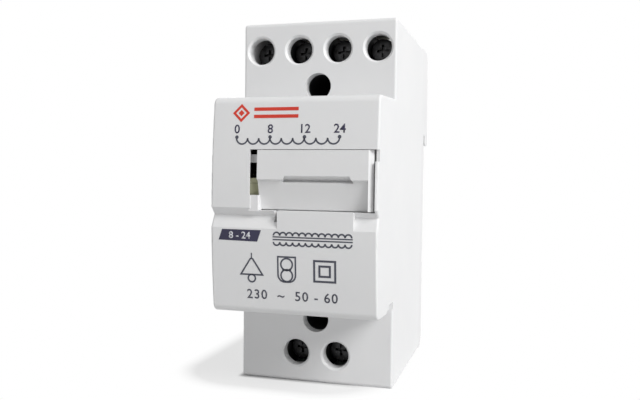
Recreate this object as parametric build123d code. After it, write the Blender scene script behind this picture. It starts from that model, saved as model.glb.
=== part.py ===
from build123d import *
import os

# Two-module bell transformer for a 35 mm top-hat rail, in millimetres.
# The origin is the centre of the rail seat: +X to the right of the front,
# -Y out of the front, +Z up. The rail runs along X.
# A depth is a distance in front of the seat, so it stands at -Y.

# Housing
body_width = 35.6
body_height = 82.0
shoulder_depth = 44.0
seam_depth = 4.0
nose_projection = 16.5
nose_crown = 1.5
shoulder_height = 18.55
nose_draft = 0.75
side_wall = 1.1
end_wall = 1.8
shoulder_wall = 2.8
nose_wall = 1.6
front_wall = 1.6
edge_radius = 0.5
shoulder_radius = 0.9
nose_radius = 1.7
fit_clearance = 0.1
overcut = 1.0
edge_tolerance = 0.01

# Groove across the nose, the window above it and the tongue that fills it
groove_top = -0.4
groove_bottom = -2.0
groove_end = -4.6
groove_depth = 1.5
window_left = -9.0
window_right = 17.1
window_bottom = -0.9
window_top = 11.6
tongue_left = -3.1
tongue_right = 12.9
tongue_slot = 0.9
tongue_slot_depth = 1.3
wall_notch_height = 2.4
wall_notch_depth = 0.9

# Blank that closes the window
insert_left = -7.3
insert_end_gap = 0.45
insert_gap = 0.12
insert_ridge = 5.5
insert_bottom = -0.7
insert_step = 0.6
insert_rake = 1.5
insert_depth = 4.4
insert_wall = 1.2
insert_flange = 1.4
insert_bevel = 0.9
scoop_left = -2.3
scoop_right = 12.6
scoop_height = 0.75
scoop_depth = 1.6

# Notch under each side of the nose, at its root
pry_depth = 8.0
pry_height = 2.0
pry_width = 1.0

# Holes in the shoulders, and the wells of the assembly screws
hole_radius = 3.0
hole_rim = 0.45
upper_hole_inset = 6.3
lower_hole_inset = 6.6
lower_pitch = 9.4
well_land = 0.2
well_wall = 0.9
well_length = 22.0
well_floor = 2.5

# Assembly screws
carrier_screw_radius = 1.5
carrier_screw_head_radius = 2.6
carrier_screw_head_height = 1.9
carrier_screw_length = 16.0
pilot_clearance = 0.05
pilot_spare = 0.5
boss_radius = 3.4
drive_width = 0.8
drive_depth = 0.9
drive_reach = 0.65

# Terminals
terminal_screw_radius = 1.75
terminal_head_radius = 2.75
terminal_head_height = 2.2
thread_clearance = 0.05
head_gap = 2.6
tag_setback = 15.0
tag_thickness = 1.2
tag_width = 4.0
tag_reach = 3.3
lug_width = 3.0
lug_thickness = 1.0
lug_length = 5.5
lug_hole_radius = 0.6
lug_hole_inset = 1.5
cage_width = 5.7
cage_side = 0.7
cage_nut = 1.6
cage_back = 1.2
cage_height = 7.0
cage_corner = 0.5
cage_open_gap = 0.5
wire_gap = 4.8
wire_entry_width = 4.6
wire_entry_depth = 5.4
wire_entry_radius = 0.8

# Terminal carriers
cage_end_gap = 0.2
chamber_clearance = 0.15
chamber_end_gap = 0.2
carrier_wall = 1.0
well_web_half_width = 2.5
carrier_back = 1.4
cage_back_gap = 0.4

# Laminated core and coil
stack_depth = 30.0
core_side_gap = 0.5
core_setback = 9.5
core_centre_z = -1.4
bobbin_clearance = 0.2
bobbin_wall = 0.8
bobbin_corner = 1.0
coil_side_gap = 0.25
tape_thickness = 0.25
coil_bulge = 0.9
coil_corner = 2.0
flange_margin = 0.3
fuse_radius = 1.2
fuse_length = 9.0

# Core cradle, carrier rests and locating lip
cradle_inset = 2.4
cradle_width = 1.6
cradle_lip = 2.0
cradle_reach = 7.0
rib_inset = 1.0
rest_width = 1.6
rest_height = 5.0
lip_height = 2.5
lip_wall = 1.2
catch_x = 10.0
catch_width = 6.0
catch_depth = 5.0
catch_height = 1.2
catch_reach = 0.4

# Rail interface
rail_width = 35.0
rail_clearance = 0.2
rail_flange_slot = 1.45
seat_gap = 0.5
seat_relief = 0.4
hook_overlap = 2.5
hook_lead = 0.6
hook_depth = 6.8
hook_top_depth = 5.4
hook_bevel = 2.4
core_out_wall = 1.9
core_out_gap = 0.4

# Rail latch, its guide and its spring
latch_half_width = 7.85
latch_thickness = 3.1
latch_overlap = 1.6
latch_floor = 1.2
latch_gap = 0.12
latch_end_gap = 0.4
latch_bevel = 0.8
latch_nose_slope = 1.6
latch_rib_half_width = 5.2
latch_rib_height = 1.5
latch_travel = 4.0
guide_wall = 2.4
guide_lip = 1.2
guide_lip_height = 1.2
guide_top_gap = 0.7
guide_bottom_gap = 1.6
latch_window_half_width = 1.7
latch_window_inset = 7.0
abutment_half_width = 1.2
abutment_height = 1.6
abutment_gap = 0.4
spring_radius = 1.05
spring_wire_radius = 0.2
spring_turns = 6
spring_spare = 1.9
wire_facets = 6
pull_slot_width = 4.6
pull_slot_height = 1.6
pull_slot_land = 1.2

# Leads
lead_radius = 0.55
lead_facets = 8
lead_bend = 2.0
lead_offset = 3.6
lead_spread = 6.0
lead_core_gap = 3.2
lead_rise = 4.0

half_width = body_width / 2
half_height = body_height / 2
inner_half_width = half_width - side_wall
inner_half_height = half_height - end_wall
nose_front = shoulder_depth + nose_projection
nose_half = half_height - shoulder_height
nose_base_half = nose_half + nose_draft
inner_front = nose_front - front_wall + nose_crown / 2
upper_hole_z = half_height - upper_hole_inset
lower_hole_z = half_height - lower_hole_inset
well_z = nose_base_half + well_land + hole_radius
well_end = shoulder_depth - well_length
well_radius = hole_radius + well_wall
head_seat = well_end + well_floor
tag_depth = shoulder_depth - tag_setback
upper_pitch = (inner_half_width - cage_end_gap - cage_width / 2) / 1.5
carrier_front = shoulder_depth - shoulder_wall - 2 * fit_clearance
head_front = carrier_front - head_gap
screw_seat = head_front - terminal_head_height
cage_front = tag_depth + cage_open_gap + cage_nut
cage_inner_back = tag_depth - tag_thickness - wire_gap
cage_rear = cage_inner_back - cage_back
chamber_back = cage_rear - cage_back_gap
carrier_rear = chamber_back - carrier_back
chamber_half = cage_width / 2 + chamber_clearance
carrier_top = inner_half_height - 1.5 * fit_clearance
wire_entry_depth_centre = tag_depth - tag_thickness - wire_gap / 2
core_half_width = inner_half_width - core_side_gap
core_leg = core_half_width / 1.5
core_half_height = 1.25 * core_leg
window_half = 0.75 * core_leg
core_front = nose_front - core_setback
core_back = core_front - stack_depth
core_centre_depth = core_front - stack_depth / 2
core_top_z = core_centre_z + core_half_height
core_bottom_z = core_centre_z - core_half_height
cradle_x = core_half_width - cradle_inset
leg_x = core_leg / 2 + bobbin_clearance
leg_y = stack_depth / 2 + bobbin_clearance
tube_half_width = leg_x + bobbin_wall
tube_half_depth = leg_y + bobbin_wall
coil_half_width = core_leg - coil_side_gap - tape_thickness
winding_build = coil_half_width - tube_half_width
coil_half_depth = tube_half_depth + winding_build + coil_bulge
flange_half_depth = coil_half_depth + tape_thickness + flange_margin
flange_half_width = core_leg - bobbin_clearance
bobbin_half_height = window_half - fit_clearance
winding_height = (2 * bobbin_half_height - 3 * bobbin_wall) / 2
recess_half = rail_width / 2 + rail_clearance
hook_tip = rail_width / 2 - hook_overlap
seat_half_height = hook_tip - seat_gap
guide_top = recess_half + guide_top_gap
guide_bottom = half_height - guide_bottom_gap
latch_tip = rail_width / 2 - latch_overlap
latch_end = half_height - latch_end_gap
latch_window_bottom = half_height - latch_window_inset
latch_front = latch_floor + latch_gap
latch_rear = latch_front + latch_thickness
latch_back = latch_rear + latch_rib_height
abutment_bottom = latch_window_bottom - abutment_gap
abutment_top = abutment_bottom - abutment_height
spring_length = latch_travel + 2 * spring_turns * spring_wire_radius + spring_spare
latch_window_top = abutment_top - spring_length - 2 * fit_clearance
lead_run_depth = core_back - lead_offset
lead_fan_z = lead_core_gap - core_bottom_z

upper_terminals = {
    "0v": -1.5 * upper_pitch,
    "8v": -0.5 * upper_pitch,
    "12v": 0.5 * upper_pitch,
    "24v": 1.5 * upper_pitch,
}
lower_terminals = {"mains_left": -lower_pitch / 2, "mains_right": lower_pitch / 2}
spare_chambers = [-1.5 * upper_pitch, 1.5 * upper_pitch]


def block(x0, x1, y0, y1, z0, z1):
    """Rectangular solid between two corners."""
    centre = Pos((x0 + x1) / 2, (y0 + y1) / 2, (z0 + z1) / 2)
    return centre * Box(abs(x1 - x0), abs(y1 - y0), abs(z1 - z0))


def along_x(profile, x0, x1):
    """Solid swept along X from a closed profile drawn as (Y, Z)."""
    return Pos(x0, 0, 0) * extrude(Plane.YZ * profile, x1 - x0)


def polygon_x(points, x0, x1):
    """Solid swept along X from a polygon given as (Y, Z) points."""
    return along_x(make_face(Polyline(*points, close=True)), x0, x1)


def rod_y(radius, x, z, y0, y1):
    """Round solid along Y."""
    return Pos(x, (y0 + y1) / 2, z) * Rot(90, 0, 0) * Cylinder(radius, abs(y1 - y0))


def rounded_block_z(x0, x1, y0, y1, z0, z1, radius):
    """Block along Z with rounded corners in plan."""
    plan = Pos((x0 + x1) / 2, (y0 + y1) / 2) * RectangleRounded(abs(x1 - x0), abs(y1 - y0), radius)
    return Pos(0, 0, min(z0, z1)) * extrude(plan, abs(z1 - z0))


def nose_front_at(z):
    """Depth of the crowned nose face at a height, as a distance in front of the seat."""
    return nose_front + nose_crown * (1 - (z / nose_half) ** 2)


def outer_profile():
    """Side outline of the cover: shoulders, crowned nose and the groove across it."""
    groove_floor = nose_front_at(groove_bottom) - groove_depth
    upper_mid = (nose_half + groove_top) / 2
    lower_mid = (groove_end - nose_half) / 2
    edges = [
        Polyline(
            (-nose_front, -nose_half),
            (-shoulder_depth, -nose_base_half),
            (-shoulder_depth, -half_height),
            (-seam_depth, -half_height),
            (-seam_depth, half_height),
            (-shoulder_depth, half_height),
            (-shoulder_depth, nose_base_half),
            (-nose_front, nose_half),
        ),
        ThreePointArc(
            (-nose_front, nose_half),
            (-nose_front_at(upper_mid), upper_mid),
            (-nose_front_at(groove_top), groove_top),
        ),
        Polyline(
            (-nose_front_at(groove_top), groove_top),
            (-groove_floor, groove_bottom),
            (-nose_front_at(groove_end), groove_end),
        ),
        ThreePointArc(
            (-nose_front_at(groove_end), groove_end),
            (-nose_front_at(lower_mid), lower_mid),
            (-nose_front, -nose_half),
        ),
    ]
    outline = make_face(edges)
    corners = outline.vertices()
    nose_corners = [v for v in corners if abs(abs(v.Y) - nose_half) < edge_tolerance]
    outline = fillet(nose_corners, nose_radius)
    corners = outline.vertices()
    shoulder_corners = [
        v for v in corners
        if abs(v.X + shoulder_depth) < edge_tolerance and abs(abs(v.Y) - half_height) < edge_tolerance
    ]
    return fillet(shoulder_corners, shoulder_radius)


def inner_solid():
    """Hollow of the cover, stepped inward behind the groove."""
    groove_inner = nose_front_at(groove_bottom) - groove_depth - front_wall
    shoulder_inner = shoulder_depth - shoulder_wall
    nose_inner = nose_half - nose_wall
    base_inner = nose_base_half - nose_wall
    points = [
        (-seam_depth, -inner_half_height),
        (-seam_depth, inner_half_height),
        (-shoulder_inner, inner_half_height),
        (-shoulder_inner, base_inner),
        (-inner_front, nose_inner),
        (-inner_front, groove_top + front_wall),
        (-groove_inner, groove_top),
        (-groove_inner, groove_end + front_wall / 2),
        (-inner_front, groove_end - front_wall / 2),
        (-inner_front, -nose_inner),
        (-shoulder_inner, -base_inner),
        (-shoulder_inner, -inner_half_height),
    ]
    return polygon_x(points, -inner_half_width, inner_half_width)


def terminal_positions():
    """Each terminal's name, X, signed Z and end of the housing it faces."""
    upper = [(name, x, upper_hole_z, 1) for name, x in upper_terminals.items()]
    lower = [(name, x, -lower_hole_z, -1) for name, x in lower_terminals.items()]
    return upper + lower


def front_hole(x, z):
    """Round hole through a shoulder, with a bevelled rim."""
    inner = -shoulder_depth + shoulder_wall + overcut
    bore = rod_y(hole_radius, x, z, -shoulder_depth - overcut, inner)
    rim = Pos(x, -shoulder_depth + hole_rim / 2, z) * Rot(90, 0, 0) * Cone(
        hole_radius, hole_radius + hole_rim, hole_rim
    )
    return bore + rim


def screw_well_bore(side):
    """Bore of a screw well: wide down to the head's seat, narrow through its floor."""
    z = side * well_z
    wide = rod_y(hole_radius, 0, z, -shoulder_depth - overcut, -head_seat)
    narrow_radius = carrier_screw_radius + fit_clearance
    narrow = rod_y(narrow_radius, 0, z, -head_seat - overcut, -well_end + overcut)
    return wide + narrow


def pry_notch(side):
    """Notch with a slanted end at the root of the nose's lower edge."""
    front = -shoulder_depth - pry_depth
    points = [
        (-shoulder_depth, -nose_base_half - overcut),
        (-shoulder_depth, -nose_base_half + pry_height),
        (front + pry_height, -nose_base_half + pry_height),
        (front, -nose_base_half),
        (front, -nose_base_half - overcut),
    ]
    return polygon_x(points, side * (half_width - pry_width), side * (half_width + overcut))


def make_front_cover():
    """One moulded shell: both shoulders, the nose and the side walls."""
    outer = along_x(outer_profile(), -half_width, half_width)
    side_edges = [
        e for e in outer.edges()
        if abs(abs(e.center().X) - half_width) < edge_tolerance and e.center().Y < -seam_depth - overcut
    ]
    outer = fillet(side_edges, edge_radius)
    shell = outer - inner_solid()

    # Ribs in the nose that stop the core from the front
    rib_bottom = core_bottom_z + rib_inset
    for x, rib_top in ((-cradle_x, core_top_z - rib_inset), (cradle_x, groove_end)):
        rib = block(
            x - cradle_width / 2, x + cradle_width / 2,
            -nose_front - nose_crown, -core_front - fit_clearance, rib_bottom, rib_top,
        )
        shell += rib & outer

    # Holes over the screw wells, and the recesses that the base's catches snap into
    for side in (1, -1):
        shell -= rod_y(
            hole_radius, 0, side * well_z, -shoulder_depth - overcut,
            -shoulder_depth + shoulder_wall + overcut,
        )
        for x in (-catch_x, catch_x):
            shell -= block(
                x - catch_width / 2 - fit_clearance, x + catch_width / 2 + fit_clearance,
                -catch_depth - catch_height, -catch_depth,
                side * (inner_half_height - overcut),
                side * (inner_half_height + catch_reach + fit_clearance),
            )

    # Screw holes in the shoulders and wire entries in the end walls
    for name, x, z, side in terminal_positions():
        shell -= front_hole(x, z)
        shell -= rounded_block_z(
            x - wire_entry_width / 2, x + wire_entry_width / 2,
            -wire_entry_depth_centre - wire_entry_depth / 2,
            -wire_entry_depth_centre + wire_entry_depth / 2,
            side * (inner_half_height - overcut), side * (half_height + overcut), wire_entry_radius,
        )

    # Window with the tongue that closes the groove below it
    tongue_front = nose_front_at(groove_end)
    tongue_back = nose_front_at(groove_bottom) - groove_depth - front_wall
    shell -= block(
        window_left, window_right, -nose_front - nose_crown - overcut, -tongue_back + overcut,
        window_bottom, window_top,
    )
    shell += block(tongue_left, tongue_right, -tongue_front, -tongue_back, groove_end, window_bottom)
    shell -= block(
        tongue_left - tongue_slot, tongue_left, -tongue_front - overcut, -tongue_back + overcut,
        groove_bottom - tongue_slot_depth, window_bottom + overcut,
    )
    shell -= block(
        window_right - overcut, half_width + overcut,
        -nose_front - nose_crown - overcut, -nose_front_at(window_top) + wall_notch_depth,
        window_top - wall_notch_height, window_top,
    )

    for side in (1, -1):
        shell -= pry_notch(side)
    return shell


def make_nose_insert():
    """Blank in the window: a flush upper face, a ridge and a raked lower face."""
    right = window_right - insert_end_gap
    top = window_top - insert_gap
    flange_front = inner_front - fit_clearance
    rear = nose_front + nose_crown - insert_depth
    foot_front = nose_front_at(groove_bottom) - groove_depth - front_wall - fit_clearance
    ridge_front = nose_front_at(insert_ridge)
    upper_mid = (top + insert_ridge) / 2
    upper = ThreePointArc(
        (-nose_front_at(top), top),
        (-nose_front_at(upper_mid), upper_mid),
        (-ridge_front, insert_ridge),
    )
    rest = Polyline(
        (-ridge_front, insert_ridge),
        (-ridge_front + insert_step, insert_ridge - insert_step / 2),
        (-ridge_front + insert_step + insert_rake, insert_bottom),
        (-foot_front, insert_bottom),
        (-foot_front, window_bottom - insert_flange),
        (-rear, window_bottom - insert_flange),
        (-rear, window_top + insert_flange),
        (-flange_front, window_top + insert_flange),
        (-flange_front, top),
        (-nose_front_at(top), top),
    )
    profile = make_face([upper, rest])
    blank = along_x(profile, insert_left, right - insert_bevel)

    # Right end swept aslant, which bevels it all the way down
    slant = Vector(insert_bevel, insert_bevel, 0)
    tip = Pos(right - insert_bevel, 0, 0) * extrude(Plane.YZ * profile, slant.length, dir=slant)
    blank += tip - block(
        insert_left, half_width, -rear, 0, window_bottom - half_width, window_top + half_width,
    )

    # Finger scoop in the middle, a hollow round cut under the ridge
    scoop_half = (scoop_right - scoop_left) / 2
    scoop_radius = (scoop_half ** 2 + scoop_depth ** 2) / (2 * scoop_depth)
    scoop_top = insert_ridge + scoop_height
    scoop_axis = nose_front_at(scoop_top) - scoop_depth + scoop_radius
    scoop = Pos((scoop_left + scoop_right) / 2, -scoop_axis, (scoop_top + insert_bottom - overcut) / 2)
    blank -= scoop * Cylinder(scoop_radius, scoop_top - insert_bottom + overcut)

    # Hollow back of the upper half, open to the rear
    pocket_front = nose_front_at(top) - insert_wall
    return blank - block(
        insert_left + insert_wall, right - insert_bevel - insert_wall, -pocket_front, -rear + overcut,
        scoop_top + insert_wall, top - insert_wall,
    )


def make_rear_base():
    """Moulded back with the rail recess, the fixed hook and the latch guide."""
    plate = block(-half_width, half_width, -seam_depth, 0, -half_height, half_height)
    hook = polygon_x(
        [
            (-seat_relief, recess_half),
            (rail_flange_slot, recess_half),
            (rail_flange_slot, hook_tip + hook_lead),
            (rail_flange_slot + hook_lead, hook_tip),
            (hook_depth - hook_lead, hook_tip),
            (hook_depth, hook_tip + hook_lead),
            (hook_top_depth, half_height - hook_bevel),
            (hook_top_depth - hook_bevel, half_height),
            (-seat_relief, half_height),
        ],
        -half_width, half_width,
    )
    base = plate + hook
    # Bevel along the lower rear edge
    base -= polygon_x(
        [
            (overcut, -half_height - overcut),
            (overcut, -half_height + hook_bevel + overcut),
            (-hook_bevel - overcut, -half_height - overcut),
        ],
        -half_width - overcut, half_width + overcut,
    )
    # Relief above and below the raised seat
    for side in (1, -1):
        base -= block(
            -half_width - overcut, half_width + overcut, -seat_relief, rail_flange_slot / 2,
            side * seat_half_height, side * recess_half,
        )
    # Coring of the hook block from the inside, beside the boss and the rests
    pockets = (
        (boss_radius + core_out_gap, upper_pitch - rest_width / 2 - core_out_gap),
        (upper_pitch + rest_width / 2 + core_out_gap, inner_half_width - core_out_wall),
    )
    for x0, x1 in pockets:
        for side in (1, -1):
            base -= block(
                side * x0, side * x1, -seam_depth - overcut, hook_top_depth - hook_bevel,
                recess_half + core_out_wall, half_height - hook_bevel - core_out_wall,
            )
    # Locating lip inside the cover
    lip_x = inner_half_width - fit_clearance
    lip_z = inner_half_height - fit_clearance
    lip = block(-lip_x, lip_x, -seam_depth - lip_height, -seam_depth, -lip_z, lip_z)
    lip -= block(
        -lip_x + lip_wall, lip_x - lip_wall, -seam_depth - lip_height - overcut, -seam_depth + overcut,
        -lip_z + lip_wall, lip_z - lip_wall,
    )
    base += lip

    # Catches on the lip that hold the cover
    for side in (1, -1):
        for x in (-catch_x, catch_x):
            base += block(
                x - catch_width / 2, x + catch_width / 2,
                -catch_depth - catch_height + fit_clearance, -catch_depth - fit_clearance,
                side * (lip_z - fit_clearance), side * (inner_half_height + catch_reach),
            )

    # Bosses for the assembly screws
    for side in (1, -1):
        z = side * well_z
        base += rod_y(boss_radius, 0, z, -well_end + fit_clearance, -seam_depth + overcut)
        pilot_end = head_seat - carrier_screw_length - pilot_spare
        base -= rod_y(carrier_screw_radius + pilot_clearance, 0, z, -well_end - overcut, -pilot_end)

    # Cradle ribs that hold the core from behind, with a lip over and under it
    rear = -seam_depth + overcut
    stop = -core_back + fit_clearance
    reach = -core_back - cradle_reach
    over = core_top_z + fit_clearance
    under = core_bottom_z - fit_clearance
    for x in (-cradle_x, cradle_x):
        base += polygon_x(
            [
                (rear, under - cradle_lip),
                (reach, under - cradle_lip),
                (reach, under),
                (stop, under),
                (stop, over),
                (reach, over),
                (reach, over + cradle_lip),
                (rear, over + cradle_lip),
            ],
            x - cradle_width / 2, x + cradle_width / 2,
        )

    # Rests behind the two terminal carriers
    for z in (upper_hole_z, -lower_hole_z):
        for x in (-upper_pitch, upper_pitch):
            base += block(
                x - rest_width / 2, x + rest_width / 2, -carrier_rear + fit_clearance, rear,
                z - rest_height / 2, z + rest_height / 2,
            )

    # Latch guide: floor, side walls and the lips that hold the latch in
    floor_half = latch_half_width + latch_gap
    base += block(-floor_half, floor_half, -seat_relief, latch_floor, -guide_bottom, -guide_top)
    lip_start = latch_rear + latch_gap
    lip_end = lip_start + guide_lip_height
    for side in (1, -1):
        outer = side * (floor_half + guide_wall)
        base += block(outer, side * floor_half, -seat_relief, lip_end, -guide_bottom, -guide_top)
        lip_inner = side * (floor_half - guide_lip)
        base += block(outer, lip_inner, lip_start, lip_end, -guide_bottom, -guide_top)
    base += block(
        -abutment_half_width, abutment_half_width, latch_floor / 2, latch_rear - latch_gap,
        -abutment_bottom, -abutment_top,
    )
    return base


def make_rail_latch():
    """Sliding latch with a bevelled nose, a spring window and a pull slot."""
    plate = block(
        -latch_half_width, latch_half_width, latch_front, latch_rear,
        -guide_bottom + latch_bevel, -guide_top + abutment_gap,
    )
    nose = polygon_x(
        [
            (latch_front, -latch_tip),
            (latch_front + latch_bevel, -latch_tip),
            (latch_back, -guide_top - latch_nose_slope),
            (latch_back, -latch_end + latch_bevel),
            (latch_back - latch_bevel, -latch_end),
            (latch_front, -latch_end),
        ],
        -latch_rib_half_width, latch_rib_half_width,
    )
    latch = plate + nose
    latch -= block(
        -latch_window_half_width, latch_window_half_width, latch_front - overcut, latch_back + overcut,
        -latch_window_bottom, -latch_window_top,
    )
    slot_bottom = -latch_end + pull_slot_land
    latch -= block(
        -pull_slot_width / 2, pull_slot_width / 2, latch_front - overcut, latch_back + overcut,
        slot_bottom, slot_bottom + pull_slot_height,
    )
    return latch


def make_latch_spring():
    """Compression spring between the guide's abutment and the latch."""
    length = spring_length - 2 * spring_wire_radius
    path = Helix(pitch=length / spring_turns, height=length, radius=spring_radius)
    section = Plane(origin=path @ 0, z_dir=path % 0) * RegularPolygon(spring_wire_radius, wire_facets)
    coil = sweep(section, path)
    foot = -abutment_top + fit_clearance + spring_wire_radius
    return Pos(0, (latch_front + latch_rear) / 2, foot) * coil


def make_carrier(xs, z, side):
    """Terminal carrier: open chambers in a row, one for each cage, and a screw well."""
    inner = z - cage_height / 2 - chamber_end_gap
    end = inner_half_width - fit_clearance
    carrier = block(
        -end, end, -carrier_front, -carrier_rear, side * (inner - carrier_wall), side * carrier_top,
    )
    for x in xs:
        carrier -= block(
            x - chamber_half, x + chamber_half, -carrier_front - overcut, -chamber_back,
            side * inner, side * (carrier_top + overcut),
        )
    for x in xs:
        carrier -= block(
            x - tag_width / 2 - fit_clearance, x + tag_width / 2 + fit_clearance,
            -tag_depth - fit_clearance, -tag_depth + tag_thickness + fit_clearance,
            side * (inner - carrier_wall - overcut), side * (inner + overcut),
        )
    # Well of the assembly screw, joined to the carrier by a web
    carrier += rod_y(well_radius, 0, side * well_z, -carrier_front, -well_end)
    carrier += block(
        -well_web_half_width, well_web_half_width, -carrier_front, -well_end,
        side * well_z, side * (inner - carrier_wall / 2),
    )
    return carrier - screw_well_bore(side)


def make_cage(x, z):
    """Rising cage: a closed frame with a threaded front wall."""
    half = cage_width / 2
    frame = block(x - half, x + half, -cage_front, -cage_rear, z - cage_height / 2, z + cage_height / 2)
    frame -= block(
        x - half + cage_side, x + half - cage_side, -cage_front + cage_nut, -cage_inner_back,
        z - cage_height, z + cage_height,
    )
    frame = fillet(
        [
            e for e in frame.edges().filter_by(Axis.Z)
            if abs(abs(e.center().X - x) - half) < edge_tolerance
        ],
        cage_corner,
    )
    thread_radius = terminal_screw_radius + thread_clearance
    frame -= rod_y(thread_radius, x, z, -cage_front - overcut, -cage_front + cage_nut + overcut)
    return frame


def cross_recess(x, z, head_radius, front):
    """Cross-shaped driver recess in a screw head."""
    arm = head_radius * drive_reach
    half = drive_width / 2
    upright = block(x - half, x + half, front - overcut, front + drive_depth, z - arm, z + arm)
    level = block(x - arm, x + arm, front - overcut, front + drive_depth, z - half, z + half)
    return upright + level


def make_terminal_screw(x, z):
    """Clamping screw with a cross recess, its tip on the contact bar."""
    head = rod_y(terminal_head_radius, x, z, -head_front, -screw_seat)
    shank = rod_y(terminal_screw_radius, x, z, -head_front, -tag_depth - thread_clearance)
    return head + shank - cross_recess(x, z, terminal_head_radius, -head_front)


def make_terminal_tag(x, z, side):
    """Contact bar through the cage, bent into a solder lug behind the carrier."""
    inner = abs(z) - cage_height / 2 - chamber_end_gap - carrier_wall
    bar = block(
        x - tag_width / 2, x + tag_width / 2, -tag_depth, -tag_depth + tag_thickness,
        side * inner, side * (abs(z) + tag_reach),
    )
    lug = block(
        x - lug_width / 2, x + lug_width / 2, -tag_depth, -tag_depth + lug_length,
        side * (inner - lug_thickness), side * inner,
    )
    hole_y = -tag_depth + lug_length - lug_hole_inset
    hole = Cylinder(lug_hole_radius, 2 * lug_thickness)
    return bar + lug - Pos(x, hole_y, side * (inner - lug_thickness / 2)) * hole


def make_carrier_screw(side):
    """Self-tapping screw that holds a terminal carrier on the base."""
    z = side * well_z
    top = -head_seat - carrier_screw_head_height
    head = rod_y(carrier_screw_head_radius, 0, z, top, -head_seat)
    shank = rod_y(carrier_screw_radius, 0, z, top, -head_seat + carrier_screw_length)
    return head + shank - cross_recess(0, z, carrier_screw_head_radius, top)


def make_core_e():
    """E laminations, stacked along Y, legs upward."""
    yoke_top = core_centre_z - window_half
    leg_top = core_centre_z + window_half
    stack = block(-core_half_width, core_half_width, -core_front, -core_back, core_bottom_z, leg_top)
    for side in (1, -1):
        stack -= block(
            side * core_leg / 2, side * core_leg, -core_front - overcut, -core_back + overcut,
            yoke_top, leg_top + overcut,
        )
    return stack


def make_core_i():
    """I laminations that close the legs at the top."""
    leg_top = core_centre_z + window_half
    return block(-core_half_width, core_half_width, -core_front, -core_back, leg_top, core_top_z)


def ring(half_x, half_y, z0, z1, radius):
    """Rounded rectangular block centred on the core's middle leg."""
    return rounded_block_z(
        -half_x, half_x, -core_centre_depth - half_y, -core_centre_depth + half_y, z0, z1, radius,
    )


def make_bobbin():
    """Two-chamber bobbin: a square tube with three flanges."""
    bottom = core_centre_z - bobbin_half_height
    top = core_centre_z + bobbin_half_height
    bobbin = ring(tube_half_width, tube_half_depth, bottom, top, bobbin_clearance)
    for z in (bottom, core_centre_z - bobbin_wall / 2, top - bobbin_wall):
        bobbin += ring(flange_half_width, flange_half_depth, z, z + bobbin_wall, bobbin_corner)
    return bobbin - block(
        -leg_x, leg_x, -core_centre_depth - leg_y, -core_centre_depth + leg_y,
        bottom - overcut, top + overcut,
    )


def winding_span(chamber):
    """Lowest and highest Z of a winding chamber, 0 for the lower and 1 for the upper."""
    first = core_centre_z - bobbin_half_height + bobbin_wall
    bottom = first + chamber * (winding_height + bobbin_wall)
    return bottom, bottom + winding_height


def make_winding(chamber):
    """Layered copper winding of one chamber."""
    bottom, top = winding_span(chamber)
    coil = ring(coil_half_width, coil_half_depth, bottom, top, coil_corner)
    tube = ring(
        tube_half_width, tube_half_depth, bottom - overcut, top + overcut, bobbin_clearance,
    )
    return coil - tube


def make_tape(chamber):
    """Insulating tape wrapped over one winding."""
    bottom, top = winding_span(chamber)
    outer = ring(
        coil_half_width + tape_thickness, coil_half_depth + tape_thickness, bottom, top,
        coil_corner + tape_thickness,
    )
    coil = ring(coil_half_width, coil_half_depth, bottom - overcut, top + overcut, coil_corner)
    return outer - coil


def make_thermal_fuse():
    """Thermal fuse that lies on the rear of the primary winding."""
    bottom, top = winding_span(0)
    y = -core_centre_depth + coil_half_depth + tape_thickness + fuse_radius + fit_clearance
    return Pos(0, y, (bottom + top) / 2) * Rot(0, 90, 0) * Cylinder(fuse_radius, fuse_length)


def make_lead(index, count, x_end, z, side):
    """Insulated lead from the bobbin's flange to a terminal's solder lug."""
    spread = lead_spread if count > 2 else 2 * lead_spread
    x_start = (index - (count - 1) / 2) * spread
    flange = core_centre_z + side * (bobbin_half_height + fit_clearance)
    lug = abs(z) - cage_height / 2 - chamber_end_gap - carrier_wall - lug_thickness
    lug_y = -tag_depth + lug_length - lug_hole_inset
    bend_z = side * lead_fan_z
    path = FilletPolyline(
        (x_start, -lead_run_depth, flange),
        (x_start, -lead_run_depth, (flange + bend_z) / 2),
        (x_end, lug_y, bend_z + side * lead_rise),
        (x_end, lug_y, side * (lug - fit_clearance)),
        radius=lead_bend,
    )
    section = Plane(origin=path @ 0, z_dir=(0, 0, side)) * RegularPolygon(lead_radius, lead_facets)
    return sweep(section, path)


def build_nodes():
    """Every node of the transformer by name."""
    nodes = {
        "front_cover": make_front_cover(),
        "rear_base": make_rear_base(),
        "nose_insert": make_nose_insert(),
        "rail_latch": make_rail_latch(),
        "latch_spring": make_latch_spring(),
        "upper_terminal_carrier": make_carrier(list(upper_terminals.values()), upper_hole_z, 1),
        "lower_terminal_carrier": make_carrier(
            list(lower_terminals.values()) + spare_chambers, lower_hole_z, -1,
        ),
        "carrier_screw_upper": make_carrier_screw(1),
        "carrier_screw_lower": make_carrier_screw(-1),
        "core_e_stack": make_core_e(),
        "core_i_stack": make_core_i(),
        "bobbin": make_bobbin(),
        "primary_winding": make_winding(0),
        "secondary_winding": make_winding(1),
        "primary_tape": make_tape(0),
        "secondary_tape": make_tape(1),
        "thermal_fuse": make_thermal_fuse(),
    }
    for name, x, z, side in terminal_positions():
        group = upper_terminals if side > 0 else lower_terminals
        index = list(group).index(name)
        nodes["terminal_screw_" + name] = make_terminal_screw(x, z)
        nodes["terminal_cage_" + name] = make_cage(x, z)
        nodes["terminal_tag_" + name] = make_terminal_tag(x, z, side)
        nodes["lead_" + name] = make_lead(index, len(group), x, z, side)
    return nodes


os.makedirs("parts", exist_ok=True)
for node, solid in build_nodes().items():
    export_step(solid, os.path.join("parts", node + ".step"))
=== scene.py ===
"""Dresses the two-module bell transformer: moulded housing, printed front, terminals and latch.

Everything is in metres in the part's own frame: +X right, -Y out of the front, +Z up.
"""

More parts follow.
